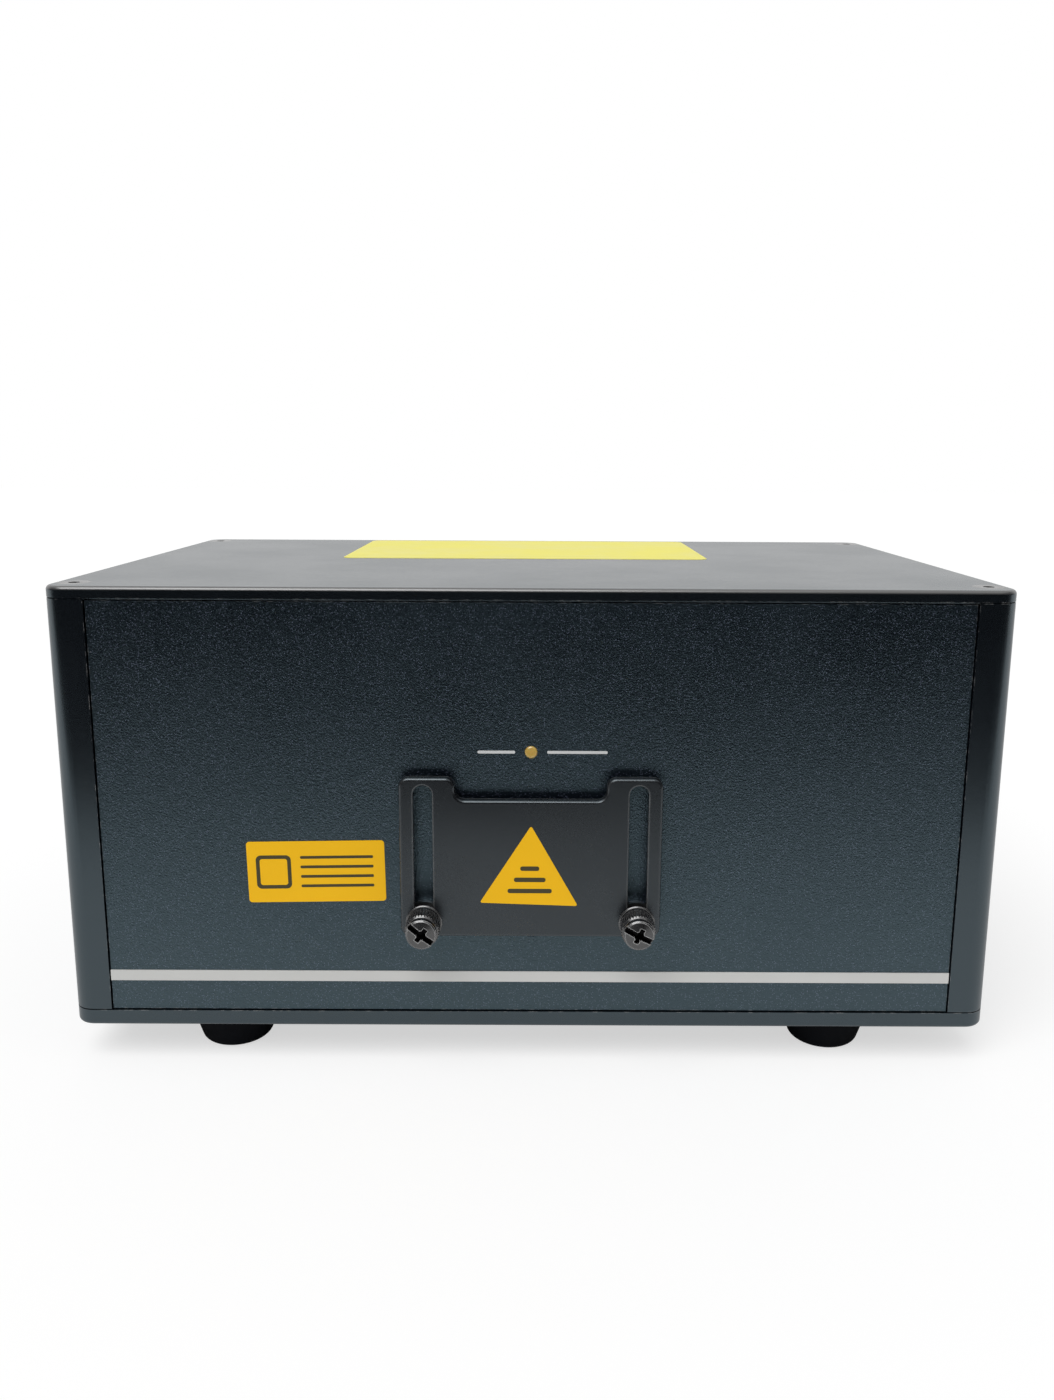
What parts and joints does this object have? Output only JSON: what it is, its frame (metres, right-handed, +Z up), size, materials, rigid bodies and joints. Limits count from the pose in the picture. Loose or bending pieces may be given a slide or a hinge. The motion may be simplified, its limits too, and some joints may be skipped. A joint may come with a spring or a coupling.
{
  "type": "laser show projector",
  "caption": "Compact laser show projector: flat black housing on rubber feet, with a slotted sliding shutter plate clamped by thumbscrews over the beam aperture.",
  "frame": {"origin": "on the floor under the middle of the housing", "axes": "+X to the viewer's right seen from the front, +Y to the rear panel, +Z up"},
  "size_m": [0.225, 0.1614, 0.118],
  "materials": {
    "housing_black": "satin black anodised",
    "panel_black": "fine textured black powder coat",
    "shutter_black": "satin black",
    "screw_black": "black oxide",
    "zinc_steel": "zinc plated",
    "foot_rubber": "matte black rubber",
    "trim_grey": "light grey film",
    "led_amber": "clear amber resin",
    "clear_glass": "clear, coated",
    "mirror_coat": "coated glass",
    "bare_aluminium": "machined",
    "rotor_steel": "ground steel",
    "board_green": "solder mask",
    "standoff_brass": "plain",
    "supply_case": "plain sheet",
    "fan_plastic": "moulded black",
    "guard_steel": "bright plated",
    "inlet_plastic": "moulded black",
    "contact_metal": "plated contacts",
    "socket_nickel": "nickel plated",
    "socket_black": "satin black"
  },
  "bodies": {
    "housing": {"base_plate": "housing_black", "top_lid": "housing_black", "side_profile_left": "housing_black", "side_profile_right": "housing_black", "front_panel": "panel_black", "rear_panel": "panel_black", "safety_tab": "panel_black", "lid_screws": "screw_black", "base_screws": "screw_black", "rear_screws": "screw_black", "foot_screws": "zinc_steel", "bracket_inserts": "zinc_steel", "fan_screws": "zinc_steel", "shutter_standoffs": "zinc_steel", "rubber_feet": "foot_rubber", "glass_gasket": "foot_rubber", "trim_strip": "trim_grey", "emission_led": "led_amber", "aperture_glass": "clear_glass", "combining_mirrors": "mirror_coat", "glass_frame": "bare_aluminium", "galvo_x_body": "bare_aluminium", "galvo_y_body": "bare_aluminium", "galvo_x_mount": "bare_aluminium", "galvo_y_mount": "bare_aluminium", "optical_bench": "bare_aluminium", "red_laser_module": "bare_aluminium", "green_laser_module": "bare_aluminium", "blue_laser_module": "bare_aluminium", "mirror_holders": "bare_aluminium", "led_board": "board_green", "control_board": "board_green", "scanner_driver_board": "board_green", "laser_driver_board": "board_green", "board_standoffs": "standoff_brass", "power_supply": "supply_case", "fan_frame": "fan_plastic", "fan_guard": "guard_steel", "power_inlet": "inlet_plastic", "interlock_socket": "inlet_plastic", "inlet_pins": "contact_metal", "signal_contacts": "contact_metal", "dmx_input_pins": "contact_metal", "key_switch_body": "socket_nickel", "signal_socket": "socket_nickel", "signal_screw_posts": "socket_nickel", "dmx_input_socket": "socket_black", "dmx_output_socket": "socket_black"},
    "shutter": {"shutter_plate": "shutter_black"},
    "thumbscrew_left": {"thumbscrew_left": "screw_black"},
    "thumbscrew_right": {"thumbscrew_right": "screw_black"},
    "galvo_x": {"galvo_x_rotor": "rotor_steel", "galvo_x_mirror": "mirror_coat"},
    "galvo_y": {"galvo_y_rotor": "rotor_steel", "galvo_y_mirror": "mirror_coat"},
    "fan_rotor": {"fan_rotor": "fan_plastic"},
    "key_cylinder": {"key_cylinder": "socket_nickel"},
    "power_rocker": {"power_rocker": "inlet_plastic"},
    "fuse_drawer": {"fuse_drawer": "inlet_plastic"},
    "dmx_latch": {"dmx_output_latch": "socket_nickel"}
  },
  "joints": [
    {"name": "shutter_slide", "type": "slide", "parent": "housing", "child": "shutter", "axis": [0, 0, 1], "range_m": [-0.029, 0]},
    {"name": "thumbscrew_left_turn", "type": "hinge", "parent": "housing", "child": "thumbscrew_left", "pos_m": [-0.0254, -0.0765, 0.0382], "axis": [0, -1, 0], "range_deg": [0, 360]},
    {"name": "thumbscrew_right_turn", "type": "hinge", "parent": "housing", "child": "thumbscrew_right", "pos_m": [0.0254, -0.0765, 0.0382], "axis": [0, -1, 0], "range_deg": [0, 360]},
    {"name": "galvo_x_scan", "type": "hinge", "parent": "housing", "child": "galvo_x", "pos_m": [0, -0.045, 0.0395], "axis": [0, 1, 0], "range_deg": [-12, 12]},
    {"name": "galvo_y_scan", "type": "hinge", "parent": "housing", "child": "galvo_y", "pos_m": [0, -0.045, 0.0535], "axis": [1, 0, 0], "range_deg": [-12, 12]},
    {"name": "fan_spin", "type": "hinge", "parent": "housing", "child": "fan_rotor", "pos_m": [-0.063, 0.06, 0.06425], "axis": [0, 1, 0], "continuous": true},
    {"name": "key_turn", "type": "hinge", "parent": "housing", "child": "key_cylinder", "pos_m": [0.079, 0.0735, 0.09433], "axis": [0, -1, 0], "range_deg": [0, 90]},
    {"name": "rocker_tilt", "type": "hinge", "parent": "housing", "child": "power_rocker", "pos_m": [0.079, 0.07, 0.06567], "axis": [0, 0, -1], "range_deg": [0, 16]},
    {"name": "fuse_drawer_slide", "type": "slide", "parent": "housing", "child": "fuse_drawer", "axis": [0, 1, 0], "range_m": [0, 0.016]},
    {"name": "dmx_latch_press", "type": "slide", "parent": "housing", "child": "dmx_latch", "axis": [0, -1, 0], "range_m": [0, 0.001], "stiffness_N_per_m": 300}
  ]
}
